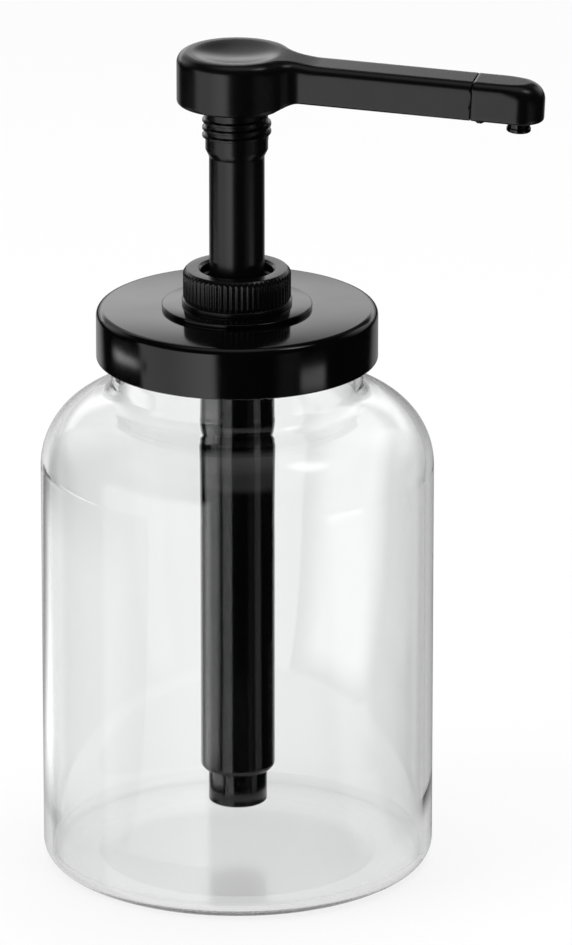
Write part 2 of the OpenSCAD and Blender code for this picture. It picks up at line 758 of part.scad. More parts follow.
// Press pad, spout arm and lock boss in one moulding
module pump_head() {
    dish_ball_r = (dish_r * dish_r + dish_h * dish_h) / (2 * dish_h);
    pad_foot_r = 0.8;
    stem_socket_r = stem_spigot_r + seat_gap;
    socket_top_z = boss_bottom_z + stem_spigot_l + seat_gap;
    root_x = 6;
    corner_drop = 2.6;
    corner_h = arm_h - corner_drop;
    color([0.06, 0.06, 0.065]) {
        difference() {
            union() {
                turned(concat(
                    [[0, pad_bottom_z]],
                    arc(pad_r - pad_foot_r, pad_bottom_z + pad_foot_r, pad_foot_r, -90, 0, 4),
                    arc(pad_r - pad_edge_r, pad_top_z - pad_edge_r, pad_edge_r, 0, 90),
                    [[0, pad_top_z]]));
                turned([
                    [0, boss_bottom_z],
                    [stem_r, boss_bottom_z],
                    [boss_core_r, boss_bottom_z + boss_taper_h],
                    [boss_core_r, pad_bottom_z + cut],
                    [0, pad_bottom_z + cut]]);
                in_arm() arm_bar(root_x, seam_x, arm_w, arm_h, arm_edge_r);
                for (s = [0, 1])
                    mirror([0, s, 0]) translate([0, 0, arm_top_z - arm_h])
                        linear_extrude(height = corner_h) arm_corner();
                in_arm() translate([seam_x - cut, 0, channel_z]) rotate([0, 90, 0])
                    cylinder(r = arm_spigot_r, h = arm_spigot_l + cut);
            }
            translate([0, 0, pad_top_z - dish_h + dish_ball_r]) sphere(r = dish_ball_r);
            bore(stem_socket_r, boss_bottom_z - cut, socket_top_z);
            bore(stem_bore_r, socket_top_z - cut, arm_top_z + channel_z + channel_r);
            in_arm() translate([0, 0, channel_z]) rotate([0, 90, 0])
                cylinder(r = channel_r, h = seam_x + arm_spigot_l + cut);
            in_arm() translate([ring_x, 0, channel_z]) rotate([0, 90, 0]) ring_groove();
        }
        helix_ridge(boss_core_r, boss_core_r + lock_ridge_h,
                    boss_bottom_z + boss_thread_rise, lock_turns);
    }
}

// Groove round the arm's spigot for the cap's seal
module ring_groove() {
    half_w = ring_wire_r + seat_gap;
    difference() {
        translate([0, 0, -half_w]) cylinder(r = arm_spigot_r + cut, h = 2 * half_w);
        translate([0, 0, -half_w - cut])
            cylinder(r = ring_r - ring_wire_r - seat_gap, h = 2 * (half_w + cut));
    }
}

// Soft ring that seals the cap on the arm's spigot
module cap_seal() {
    color([0.2, 0.2, 0.2]) in_arm() translate([ring_x, 0, channel_z]) rotate([0, 90, 0])
        rotate_extrude() translate([ring_r, 0]) circle(r = ring_wire_r, $fn = 24);
}

// Snap cap with the round spout end
module nozzle_cap() {
    grip_r = 1.4;
    grip_end = 0.5;
    grip_inset = 2.6;
    grip_w = arm_w - 2 * grip_end;
    grip_x = seam_x + grip_inset;
    drop_z = channel_z - cut;
    color([0.06, 0.06, 0.065]) in_arm() difference() {
        union() {
            hull() {
                arm_bar(seam_x, seam_x + 1, arm_w, arm_h, arm_edge_r);
                translate([cap_end_x, 0, 0]) turned(concat(
                    [[0, -arm_h], [cap_end_r, -arm_h]],
                    arc(cap_end_r - cap_edge_r, -cap_edge_r, cap_edge_r, 0, 90, 6),
                    [[0, 0]]), $fn = 48);
            }
            translate([grip_x, grip_w / 2, -arm_h + grip_r - grip_h]) rotate([90, 0, 0])
                cylinder(r = grip_r, h = grip_w, $fn = 48);
        }
        translate([seam_x - cut, 0, channel_z]) rotate([0, 90, 0])
            cylinder(r = socket_r, h = arm_spigot_l + rest_gap + cut);
        translate([seam_x, 0, channel_z]) rotate([0, 90, 0])
            cylinder(r = channel_r, h = cap_l);
        translate([cap_end_x, 0, -arm_h - cut])
            cylinder(r = tip_r + seat_gap, h = tip_top_z + arm_h + cut + seat_gap);
        translate([cap_end_x, 0, -arm_h]) cylinder(r = tip_bore_r, h = arm_h + drop_z + cut);
    }
}

// Outlet tube pressed into the cap from below
module nozzle_tip() {
    edge_r = 0.5;
    end_z = -arm_h - tip_show;
    color([0.08, 0.08, 0.085]) in_arm() translate([cap_end_x, 0, 0]) turned(concat(
        [[tip_bore_r, end_z]],
        arc(tip_r - edge_r, end_z + edge_r, edge_r, -90, 0, 4),
        [[tip_r, tip_top_z], [tip_bore_r, tip_top_z]]));
}

glass_jar();
lid();
lid_seal();
mouth_ring();
flange_washer();
flange_gasket();
collar_nut();
pump_cylinder();
inlet_foot();
inlet_ball();
spring_seat();
return_spring();
stem_bush();
stem_seal();
piston();
piston_seal();
stem();
outlet_seat();
outlet_ball();
outlet_cage();
pump_head();
cap_seal();
nozzle_cap();
nozzle_tip();
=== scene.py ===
import json
from math import acos, atan2, cos, degrees, pi, radians, sin, sqrt, tan

import bpy
import numpy as np
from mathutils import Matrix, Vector


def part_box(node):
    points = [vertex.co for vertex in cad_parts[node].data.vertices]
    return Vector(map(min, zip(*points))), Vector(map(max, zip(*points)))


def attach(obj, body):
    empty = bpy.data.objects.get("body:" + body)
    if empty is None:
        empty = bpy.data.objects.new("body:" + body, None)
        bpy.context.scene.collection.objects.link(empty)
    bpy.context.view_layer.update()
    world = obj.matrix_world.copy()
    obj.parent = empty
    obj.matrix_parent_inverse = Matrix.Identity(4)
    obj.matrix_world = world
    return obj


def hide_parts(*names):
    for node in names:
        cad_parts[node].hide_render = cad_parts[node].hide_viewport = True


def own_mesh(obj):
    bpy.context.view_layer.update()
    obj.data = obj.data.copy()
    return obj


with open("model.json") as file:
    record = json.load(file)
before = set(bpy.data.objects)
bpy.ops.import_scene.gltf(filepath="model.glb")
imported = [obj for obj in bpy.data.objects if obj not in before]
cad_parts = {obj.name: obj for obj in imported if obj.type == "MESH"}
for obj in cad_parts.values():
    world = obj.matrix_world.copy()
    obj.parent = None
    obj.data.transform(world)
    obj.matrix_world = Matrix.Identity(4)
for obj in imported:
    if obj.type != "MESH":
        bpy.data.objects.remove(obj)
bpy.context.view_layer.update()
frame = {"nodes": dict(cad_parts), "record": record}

MM = 0.001
TAU = 2 * pi

# Sizes of the part's source, in millimetres; names in _Z are heights above the counter
JAR_R, JAR_WALL, JAR_SIDE_H = 56.0, 2.4, 118.0
HEEL_R, BASE_T, PUNT_R, PUNT_H = 5.5, 2.6, 46.0, 0.8
SHOULDER_ANGLE, SHOULDER_RUN, NECK_FILLET_R = radians(72), 3.0, 4.0
NECK_R, NECK_H = 35.8, 18.2
LID_T, SKIRT_WALL, LID_HOLE_R = 2.4, 2.5, 12.85
GROOVE_UP, GROOVE_H, GROOVE_IN, GROOVE_PLAY = 3, 4.06, 0.6, 0.03
COLLAR_R, COLLAR_BAND_R, COLLAR_MOUTH_R = 15.0, 15.65, 10.3
COLLAR_BAND_H, COLLAR_LIP_T, COLLAR_BEVEL = 1.6, 2.9, 0.7
RIB_COUNT, RIB_H, RIB_FOOT, RIB_END = 60, 0.3, 0.3, 0.5
BARREL_R, BORE_R, BARREL_FLOOR_T = 10.65, 8.9, 2.4
FLARE_R, FLARE_LOW_Z, FLARE_TOP_Z = 12.3, 141.3, 144.3
FLANGE_R, FLANGE_LOW_Z, FLANGE_TOP_Z = 17, 158.5, 161.3
NECK_CORE_R, NECK_BORE_R, LEDGE_Z = 12.1, 11.0, 146.3
FOOT_R, INLET_R, SPIGOT_R, SPIGOT_HOLE_R, FOOT_TOP_Z = 8.4, 5.0, 6.4, 6.43, 26.3
SEAT_R, SEAT_DEPTH, THROAT_R, THROAT_LOW_Z, THROAT_TOP_Z = 5.2, 2.8, 2.4, 25.3, 26.8
SPRING_WIRE, SPRING_TURNS, SPRING_END_PITCH = 1.2, 16, 1.9
STEM_R, STEM_BORE_R, STUB_R, STUB_BORE_R = 7.85, 4.6, 5.2, 3.6
SNAP_R, SNAP_LOW, SNAP_TOP = 5.65, 0.6, 1.2
STOP_R, STOP_LOW_Z, STOP_TOP_Z = 8.58, 143.9, 146.5
BOSS_R, BOSS_BORE_R, BOSS_LEAD, BOSS_SINK = 8.85, 6.93, 2.1, 0.6
PITCH, RIDGE, LOCK_UP, LOCK_TURNS = 2.2, 0.9, 5.0, 3
RIDGE_HALF_W, RIDGE_FLANK = 0.62, 0.34
PAD_R, PAD_H, PAD_EDGE_R = 16.9, 14.8, 3.0
DISH_R, DISH_H, DISH_LIP, DISH_SOFT = 12.5, 1.6, 0.12, 0.18
ARM_W, ARM_H, ARM_DROP, ARM_SLOPE = 14.0, 10.9, 0.9, radians(2.5)
ARM_EDGE_R, ARM_LOW_EDGE_R, ARM_FILLET_R = 2.6, 0.9, 6.5
SEAM_X, SEAM_PLAY, SEAM_EDGE_R = 68.2, 0.06, 0.12
CAP_L, CAP_CROWN_R, CAP_CROWN_RUN = 12.8, 2.2, 5
GRIP_X, GRIP_UP, GRIP_R, GRIP_HALF_W, GRIP_BLEND = 2.6, 0.8, 1.4, 6.5, 0.3
TIP_R, TIP_BORE_R, TIP_SHOW, TIP_STEP = 3.45, 2.3, 3.5, 0.25
# Where along X the pad's top, underside and edges turn into the arm's
TOP_RUN, LOW_RUN, EDGE_RUN = (9.0, 24.0), (11.0, 19.0), (14, 30)

# Fineness of the meshes
BIG_ARC, SMALL_ARC, HEEL_ARC, HOLLOW_STEPS, RIB_STEPS = 40, 14, 16, 12, 16
NET_STEP = 0.45

# Studio: the camera's turn about the jar, to the right of -Y, and how far it looks down
PHI = radians(11)
LOOK_DOWN = 18.802
CAMERA_AT, CAMERA_LENS, CAMERA_SENSOR = (0.4712, -2.3515, 0.9318), 338.8, 36.0
# Floor: half its width, how much of its glow the camera sees, and what glass takes from it
FLOOR_HALF, FLOOR_GLOW, GLASS_SHADE = 8, 0.82, 0.13
LAMP_AIM = (0, 0, 0.1)


def node_box(name):
    """A node's lowest and highest corners in millimetres."""
    lo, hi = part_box(name)
    return [v / MM for v in lo], [v / MM for v in hi]


HEAD_LO, HEAD_HI = node_box("pump_head")
LID_LO, LID_HI = node_box("lid")
WASHER_LO, WASHER_HI = node_box("flange_washer")
COLLAR_LO, COLLAR_HI = node_box("collar_nut")
BARREL_LO, BARREL_HI = node_box("pump_cylinder")
FOOT_LO, FOOT_HI = node_box("inlet_foot")
SPRING_LO, SPRING_HI = node_box("return_spring")
STEM_LO = node_box("stem")[0]
PAD_TOP_Z, BOSS_BOTTOM_Z = HEAD_HI[2], HEAD_LO[2]
PAD_BOTTOM_Z = PAD_TOP_Z - PAD_H
ARM_TOP_Z = PAD_TOP_Z - ARM_DROP
CAP_END_X = SEAM_X + CAP_L


# Meshes

def new_object(name, shape, body, slot, replaces=(), sharp=30):
    """Object from points in millimetres and faces, smooth except at edges sharper than this."""
    verts, faces = shape
    mesh = bpy.data.meshes.new(name)
    mesh.from_pydata([(x * MM, y * MM, z * MM) for x, y, z in verts], [], faces)
    mesh.validate()
    mesh.shade_smooth()
    mesh.set_sharp_from_angle(angle=radians(sharp))
    obj = bpy.data.objects.new(name, mesh)
    bpy.context.collection.objects.link(obj)
    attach(obj, body)
    if replaces:
        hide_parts(*replaces)
    mesh.materials.append(LOOKS[slot])
    return obj


def arc(x, y, r, a0, a1, n):
    """Points along an arc, angles in degrees."""
    return [(x + r * cos(radians(a0 + (a1 - a0) * i / n)),
             y + r * sin(radians(a0 + (a1 - a0) * i / n))) for i in range(n + 1)]


def rounded(corners, n=5):
    """Closed profile from (radius, height, rounding) corners, n steps to a rounding."""
    straight, side_share = 0.02, 0.49
    out = []
    for i, (x, y, r) in enumerate(corners):
        if r <= 0:
            out.append((x, y))
            continue
        p = Vector((x, y))
        a, b = Vector(corners[i - 1][:2]), Vector(corners[(i + 1) % len(corners)][:2])
        u, v = a - p, b - p
        lu, lv = u.length, v.length
        u.normalize()
        v.normalize()
        half = acos(max(-1, min(1, u.dot(v)))) / 2
        if abs(half - pi / 2) < straight or half < straight:
            out.append(tuple(p))
            continue
        t = min(r / tan(half), side_share * lu, side_share * lv)
        r = t * tan(half)
        c = p + (u + v).normalized() * (r / sin(half))
        s, e = p + u * t - c, p + v * t - c
        a0 = atan2(s.y, s.x)
        turn = atan2(s.x * e.y - s.y * e.x, s.dot(e))
        out += [(c.x + r * cos(a0 + turn * k / n), c.y + r * sin(a0 + turn * k / n))
                for k in range(n + 1)]
    return out


def lathe(profile, segments=160, wobble=None):
    """Turned surface from a closed profile of (radius, height) points."""
    verts, rows = [], []
    for r, z in profile:
        if r < 1e-6:
            rows.append([len(verts)] * segments)
            verts.append((0, 0, z))
        else:
            rows.append(list(range(len(verts), len(verts) + segments)))
            for k in range(segments):
                a = TAU * k / segments
                q = r if wobble is None else wobble(r, z, a)
                verts.append((q * cos(a), q * sin(a), z))
    faces = []
    for i, row in enumerate(rows):
        nxt = rows[(i + 1) % len(rows)]
        if row[0] == row[1] and nxt[0] == nxt[1]:
            continue
        for k in range(segments):
            m = (k + 1) % segments
            face = []
            for v in (row[k], row[m], nxt[m], nxt[k]):
                if v not in face:
                    face.append(v)
            if len(face) > 2:
                faces.append(face)
    return verts, faces


def thread_grid(core_r, z0, z1, ridge_z, turns, bottom, top, segments=144, rows_per_mm=7):
    """Outside of a threaded shaft, with closing profiles below and above."""
    n = max(2, int((z1 - z0) * rows_per_mm))
    zs = [z0 + (z1 - z0) * i / n for i in range(n + 1)]

    def wobble(r, z, a):
        """Adds the ridge, which grows out of the core over its first quarter turn."""
        if r != core_r or not z0 <= z <= z1:
            return r
        best = 0.0
        for k in range(turns + 2):
            t = a / TAU + k
            if not 0 <= t <= turns:
                continue
            grow = min(1.0, 0.08 + 4 * min(t, turns - t))
            d = abs(z - (ridge_z + PITCH * t))
            best = max(best, grow * max(0.0, min(1.0, (RIDGE_HALF_W - d) / RIDGE_FLANK)))
        return r + RIDGE * (best * best * (3 - 2 * best))

    return lathe(bottom + [(core_r, z) for z in zs] + top, segments, wobble)


def surface_net(field, lo, hi, step, probe=0.02, rounds=6, least_slope=0.05):
    """Quad mesh of a field's zero surface, settled on it by a few Newton steps."""
    axes = [np.arange(lo[i], hi[i] + step, step) for i in range(3)]
    F = field(*np.meshgrid(*axes, indexing="ij"))
    cells_shape = tuple(n - 1 for n in F.shape)
    inside = F < 0
    total = np.zeros((*cells_shape, 3))
    count = np.zeros(cells_shape)
    corners = [(i, j, k) for i in (0, 1) for j in (0, 1) for k in (0, 1)]
    for a in corners:
        for d in range(3):
            if a[d]:
                continue
            b = list(a)
            b[d] = 1
            fa, fb = (F[tuple(slice(c[i], F.shape[i] - 1 + c[i]) for i in range(3))]
                      for c in (a, b))
            cross = (fa < 0) != (fb < 0)
            t = np.where(cross, fa / np.where(cross, fa - fb, 1), 0)
            for i in range(3):
                off = a[i] + (t if i == d else 0)
                total[..., i] += np.where(cross, off, 0)
            count += cross
    used = count > 0
    index = -np.ones(used.shape, int)
    index[used] = np.arange(used.sum())
    cells = np.argwhere(used)
    pts = (cells + total[used] / count[used][:, None]) * step + np.array(lo)
    faces = []
    for d in range(3):
        e, f = (d + 1) % 3, (d + 2) % 3
        here = [slice(1, -1)] * 3
        here[d] = slice(0, -1)
        beyond = list(here)
        beyond[d] = slice(1, None)
        s0, s1 = inside[tuple(here)], inside[tuple(beyond)]
        for flip, where in ((False, s0 & ~s1), (True, ~s0 & s1)):
            base = np.argwhere(where) + np.array([0 if i == d else 1 for i in range(3)])
            quad = []
            for oe, of in ((-1, -1), (0, -1), (0, 0), (-1, 0)):
                c = base.copy()
                c[:, e] += oe
                c[:, f] += of
                quad.append(index[c[:, 0], c[:, 1], c[:, 2]])
            faces += np.stack(quad[::-1] if flip else quad, axis=1).tolist()
    for _ in range(rounds):
        x, y, z = pts.T
        f = field(x, y, z)
        slope = np.stack([field(x + probe, y, z) - field(x - probe, y, z),
                          field(x, y + probe, z) - field(x, y - probe, z),
                          field(x, y, z + probe) - field(x, y, z - probe)],
                         axis=1) / (2 * probe)
        n2 = np.maximum((slope * slope).sum(axis=1), least_slope)
        move = -(f / n2)[:, None] * slope
        size = np.linalg.norm(move, axis=1, keepdims=True)
        pts = pts + move * np.minimum(1, 0.5 * step / np.maximum(size, 1e-9))
    return pts.tolist(), faces


# Materials

class Graph:
    """Short way to build a node tree and to write its sums."""

    def __init__(self, tree):
        self.tree = tree

    def new(self, kind):
        return self.tree.nodes.new(kind)

    def link(self, a, b):
        self.tree.links.new(a, b)

    def math(self, op, *args):
        node = self.new("ShaderNodeMath")
        node.operation = op
        for i, v in enumerate(args):
            if isinstance(v, (int, float)):
                node.inputs[i].default_value = v
            else:
                self.link(v, node.inputs[i])
        return node.outputs[0]

    def plus(self, a, b):
        return self.math("ADD", a, b)

    def one_minus(self, v):
        return self.math("SUBTRACT", 1.0, v)

    def above(self, v, limit):
        return self.math("GREATER_THAN", v, limit)

    def below(self, v, limit):
        return self.math("LESS_THAN", v, limit)

    def times(self, *args):
        out = args[0]
        for v in args[1:]:
            out = self.math("MULTIPLY", out, v)
        return out

    def most(self, *args):
        out = args[0]
        for v in args[1:]:
            out = self.math("MAXIMUM", out, v)
        return out

    def step(self, v, a, b):
        """Smooth rise from 0 at a to 1 at b."""
        node = self.new("ShaderNodeMapRange")
        node.interpolation_type = "SMOOTHSTEP"
        node.inputs["From Min"].default_value = a
        node.inputs["From Max"].default_value = b
        self.link(v, node.inputs["Value"])
        return node.outputs["Result"]

    def between(self, v, a, b, soft):
        """1 from a to b, with soft ends."""
        return self.times(self.step(v, a - soft, a + soft),
                          self.one_minus(self.step(v, b - soft, b + soft)))

    def axes(self, kind):
        """The three parts of one kind of texture coordinate."""
        coord = self.new("ShaderNodeTexCoord")
        sep = self.new("ShaderNodeSeparateXYZ")
        self.link(coord.outputs[kind], sep.inputs[0])
        return [sep.outputs[a] for a in "XYZ"]

    def azimuth(self, x, y):
        """Degrees from the camera's side, positive to its right."""
        right = self.plus(self.times(x, cos(PHI)), self.times(y, sin(PHI)))
        near = self.math("SUBTRACT", self.times(x, sin(PHI)), self.times(y, cos(PHI)))
        return self.times(self.math("ARCTAN2", right, near), 180 / pi)

    def mix(self, amount, a, b):
        """Shader a, turned into b by the amount."""
        node = self.new("ShaderNodeMixShader")
        self.link(amount, node.inputs["Fac"])
        self.link(a, node.inputs[1])
        self.link(b, node.inputs[2])
        return node.outputs["Shader"]


def blank(owner, output):
    """Empty node tree of a material or a world, and its output node."""
    owner.use_nodes = True
    owner.node_tree.nodes.clear()
    g = Graph(owner.node_tree)
    return g, g.new(output)


def principled(name):
    """Material with one Principled shader."""
    mat = bpy.data.materials.new(name)
    g, out = blank(mat, "ShaderNodeOutputMaterial")
    shader = g.new("ShaderNodeBsdfPrincipled")
    g.link(shader.outputs["BSDF"], out.inputs["Surface"])
    return mat, g, shader


def noise(g, scale, detail, rough=0.5, stretch=(1, 1, 1)):
    """Noise in the object's own metres."""
    coord = g.new("ShaderNodeTexCoord")
    mapping = g.new("ShaderNodeMapping")
    mapping.inputs["Scale"].default_value = stretch
    tex = g.new("ShaderNodeTexNoise")
    tex.inputs["Scale"].default_value = scale
    tex.inputs["Detail"].default_value = detail
    tex.inputs["Roughness"].default_value = rough
    g.link(coord.outputs["Object"], mapping.inputs["Vector"])
    g.link(mapping.outputs["Vector"], tex.inputs["Vector"])
    return tex.outputs["Fac"]


def ramp(g, value, lo, hi):
    """A noise's value mapped from its middle range to lo..hi."""
    node = g.new("ShaderNodeMapRange")
    node.inputs["From Min"].default_value = 0.3
    node.inputs["From Max"].default_value = 0.7
    node.inputs["To Min"].default_value = lo
    node.inputs["To Max"].default_value = hi
    g.link(value, node.inputs["Value"])
    return node.outputs["Result"]


def bump(g, shader, value, height):
    """Full-strength bump of a height in metres."""
    node = g.new("ShaderNodeBump")
    node.inputs["Distance"].default_value = height
    node.inputs["Strength"].default_value = 1.0
    g.link(value, node.inputs["Height"])
    g.link(node.outputs["Normal"], shader.inputs["Normal"])


def colour_mix(g, shader, value, dark, light):
    """Base colour that runs from dark to light with a noise."""
    node = g.new("ShaderNodeMix")
    node.data_type = "RGBA"
    node.inputs["A"].default_value = (*dark, 1)
    node.inputs["B"].default_value = (*light, 1)
    g.link(value, node.inputs["Factor"])
    g.link(node.outputs["Result"], shader.inputs["Base Color"])


def plastic(name, dark, light, rough, spread, grain, grain_h):
    """Moulded plastic: faint flow marks in the gloss over a fine grain."""
    mat, g, shader = principled(name)
    shader.inputs["IOR"].default_value = 1.5
    colour_mix(g, shader, noise(g, scale=45, detail=4, rough=0.6), dark, light)
    gloss = ramp(g, noise(g, scale=90, detail=3, rough=0.6), rough - spread, rough + spread)
    g.link(gloss, shader.inputs["Roughness"])
    bump(g, shader, noise(g, scale=grain, detail=3, rough=0.6), grain_h)
    return mat


def clear_glass():
    """Clear blown glass with faint waves, a little rough at the floor inside."""
    mat, g, shader = principled("clear_glass")
    shader.inputs["Base Color"].default_value = (0.985, 0.99, 0.988, 1)
    shader.inputs["Transmission Weight"].default_value = 1.0
    shader.inputs["IOR"].default_value = 1.47
    floor_zone, floor_rough, rough = (0.0036, 0.0052), 0.2, 0.012
    at_floor = g.one_minus(g.step(g.axes("Object")[2], *floor_zone))
    gloss = ramp(g, noise(g, scale=60, detail=2), 0.0, rough)
    g.link(g.most(gloss, g.times(at_floor, floor_rough)), shader.inputs["Roughness"])
    waves = noise(g, scale=26, detail=1.5, rough=0.4, stretch=(1, 1, 0.45))
    bump(g, shader, waves, height=0.00004)
    return mat


def metal(name, colour, rough):
    """Plain bright metal with a fine grain."""
    mat, g, shader = principled(name)
    shader.inputs["Base Color"].default_value = (*colour, 1)
    shader.inputs["Metallic"].default_value = 1.0
    gloss = ramp(g, noise(g, scale=400, detail=3), rough * 0.7, rough * 1.3)
    g.link(gloss, shader.inputs["Roughness"])
    bump(g, shader, noise(g, scale=1200, detail=2), height=0.000002)
    return mat


PLASTICS = {
    "satin_black": dict(dark=(0.0010, 0.0010, 0.0011), light=(0.0018, 0.0018, 0.0019),
                        rough=0.24, spread=0.02, grain=2600, grain_h=0.000006),
    "gloss_black": dict(dark=(0.0006, 0.0006, 0.0007), light=(0.0011, 0.0011, 0.0012),
                        rough=0.11, spread=0.02, grain=900, grain_h=0.000002),
    "natural_plastic": dict(dark=(0.62, 0.62, 0.58), light=(0.7, 0.7, 0.66),
                            rough=0.42, spread=0.05, grain=1800, grain_h=0.00001),
    "clear_seal": dict(dark=(0.55, 0.56, 0.55), light=(0.63, 0.64, 0.63),
                       rough=0.5, spread=0.05, grain=1500, grain_h=0.00001),
    "black_seal": dict(dark=(0.012, 0.012, 0.012), light=(0.02, 0.02, 0.02),
                       rough=0.6, spread=0.05, grain=1500, grain_h=0.00002),
}
LOOKS = {"clear_glass": clear_glass()}
for name, look in PLASTICS.items():
    LOOKS[name] = plastic(name, **look)
LOOKS["steel"] = metal("steel", (0.6, 0.6, 0.6), 0.2)

slots = {s["node"]: s["material_slot"] for s in frame["record"]["subparts"]}
for name, obj in frame["nodes"].items():
    for s in obj.material_slots:
        s.material = LOOKS[slots[name]]


# Jar

def glass_profile():
    """Half section of the jar: outside from the base up to the rim, inside down to the floor."""
    in_r, in_heel_r = JAR_R - JAR_WALL, HEEL_R - JAR_WALL
    floor_r = in_r - in_heel_r
    big_r = ((JAR_R - NECK_R - SHOULDER_RUN * sin(SHOULDER_ANGLE)) / (1 - cos(SHOULDER_ANGLE))
             - NECK_FILLET_R)
    neck_z = (JAR_SIDE_H + (big_r + NECK_FILLET_R) * sin(SHOULDER_ANGLE)
              + SHOULDER_RUN * cos(SHOULDER_ANGLE))
    rim_z, rim_r = neck_z + NECK_H, JAR_WALL / 2
    fillet_x = NECK_R + NECK_FILLET_R
    sa = degrees(SHOULDER_ANGLE)

    def hollow(r, z):
        """Raised middle of the base, from the axis out to r."""
        return [(r * k / HOLLOW_STEPS, z + PUNT_H * (1 - (k / HOLLOW_STEPS) ** 2) ** 2)
                for k in range(HOLLOW_STEPS + 1)]

    return (hollow(PUNT_R, 0)
            + arc(JAR_R - HEEL_R, HEEL_R, HEEL_R, -90, 0, HEEL_ARC)
            + [(JAR_R, JAR_SIDE_H / 2)]
            + arc(JAR_R - big_r, JAR_SIDE_H, big_r, 0, sa, BIG_ARC)
            + arc(fillet_x, neck_z, NECK_FILLET_R, 180 + sa, 180, SMALL_ARC)
            + arc(NECK_R - rim_r, rim_z - rim_r, rim_r, 0, 180, SMALL_ARC)
            + arc(fillet_x, neck_z, NECK_FILLET_R + JAR_WALL, 180, 180 + sa, SMALL_ARC)
            + arc(JAR_R - big_r, JAR_SIDE_H, big_r - JAR_WALL, sa, 0, BIG_ARC)
            + [(in_r, JAR_SIDE_H / 2)]
            + arc(floor_r, BASE_T + in_heel_r, in_heel_r, 0, -90, HEEL_ARC)
            + hollow(floor_r, BASE_T)[-2::-1])


new_object("jar_glass", lathe(glass_profile(), segments=240), "jar", "clear_glass",
           ["glass_jar"], sharp=60)


# Lid, washer and collar

def lid_profile():
    """Half section of the lid, with the seal's groove in its skirt."""
    r, top, low = LID_HI[0], LID_HI[2], LID_LO[2]
    under, inner = top - LID_T, r - SKIRT_WALL
    groove_r, groove_low = inner + GROOVE_IN, low + GROOVE_UP - GROOVE_PLAY
    groove_top = groove_low + GROOVE_H
    return rounded([
        (LID_HOLE_R, under, 0), (inner, under, 0.8), (inner, groove_top, 0),
        (groove_r, groove_top, 0), (groove_r, groove_low, 0), (inner, groove_low, 0),
        (inner, low, 0.5), (r, low, 0.6), (r, top, 2.2), (LID_HOLE_R, top, 0)], n=8)


def washer_profile():
    """Half section of the flat washer under the collar."""
    r, low, top = WASHER_HI[0], WASHER_LO[2], WASHER_HI[2]
    return rounded([(LID_HOLE_R, low, 0), (r, low, 0.15), (r, top, 0.4), (LID_HOLE_R, top, 0)])


def collar_mesh():
    """Collar nut with a ribbed wall over a plain band, and a bevelled mouth."""
    top, low = COLLAR_HI[2], COLLAR_LO[2]
    rib_low, rib_top, lip = low + COLLAR_BAND_H, top - COLLAR_BEVEL, top - COLLAR_LIP_T
    outer = rounded([(LID_HOLE_R, low, 0), (COLLAR_BAND_R, low, 0.2),
                     (COLLAR_BAND_R, rib_low - RIB_FOOT, 0.2), (COLLAR_R, rib_low, 0)])
    wall = [(COLLAR_R, rib_low + (rib_top - rib_low) * i / RIB_STEPS)
            for i in range(1, RIB_STEPS + 1)]
    inner = rounded([(COLLAR_R, rib_top, 0), (COLLAR_R - COLLAR_BEVEL, top, 0.25),
                     (COLLAR_MOUTH_R + COLLAR_BEVEL, top, 0.3),
                     (COLLAR_MOUTH_R, top - COLLAR_BEVEL, 0.3),
                     (COLLAR_MOUTH_R, lip, 0.1), (LID_HOLE_R, lip, 0)])

    def wobble(r, z, a):
        """Adds the ribs, which fade at both ends."""
        if r != COLLAR_R:
            return r
        fade = max(0.0, min(1.0, (z - rib_low) / RIB_FOOT, (rib_top - z) / RIB_END))
        wave = 0.5 + 0.5 * cos(a * RIB_COUNT)
        return r + RIB_H * fade * (wave * wave * (3 - 2 * wave))

    return lathe(outer + wall + inner[1:], segments=RIB_COUNT * 8, wobble=wobble)


new_object("lid_shell", lathe(lid_profile(), segments=224), "pump_lid", "gloss_black",
           ["lid"])
new_object("washer_disc", lathe(washer_profile()), "pump_lid", "gloss_black",
           ["flange_washer"])
new_object("collar_ring", collar_mesh(), "pump_lid", "satin_black", ["collar_nut"], sharp=50)


# Pump tube and foot

def barrel_profile():
    """Half section of the tube, up through its flare, flange and neck, and down its bore."""
    low, top = BARREL_LO[2], BARREL_HI[2]
    floor = low + BARREL_FLOOR_T
    return rounded([
        (SPIGOT_HOLE_R, floor, 0), (SPIGOT_HOLE_R, low, 0.3), (BARREL_R, low, 2),
        (BARREL_R, FLARE_LOW_Z, 3), (FLARE_R, FLARE_TOP_Z, 3), (FLARE_R, FLANGE_LOW_Z, 0.3),
        (FLANGE_R, FLANGE_LOW_Z, 0.3), (FLANGE_R, FLANGE_TOP_Z, 0.2),
        (NECK_CORE_R, FLANGE_TOP_Z, 0), (NECK_CORE_R, top, 0.3), (NECK_BORE_R, top, 0.3),
        (NECK_BORE_R, LEDGE_Z, 0), (BORE_R, LEDGE_Z, 0), (BORE_R, floor, 1)], n=8)


def foot_profile():
    """Half section of the foot, with its spigot and the lower ball's seat."""
    low, top = FOOT_LO[2], FOOT_HI[2]
    return rounded([
        (INLET_R, low, 0.3), (FOOT_R, low, 0.6), (FOOT_R, FOOT_TOP_Z, 0.1),
        (SPIGOT_R, FOOT_TOP_Z, 0), (SPIGOT_R, top, 0.1), (SEAT_R, top, 0.1),
        (THROAT_R, top - SEAT_DEPTH, 0), (THROAT_R, THROAT_TOP_Z, 0.1),
        (INLET_R, THROAT_LOW_Z, 0)])


new_object("pump_tube", lathe(barrel_profile()), "pump_lid", "gloss_black",
           ["pump_cylinder"])
new_object("pump_foot", lathe(foot_profile(), segments=128), "pump_lid", "gloss_black",
           ["inlet_foot"])


# Return spring

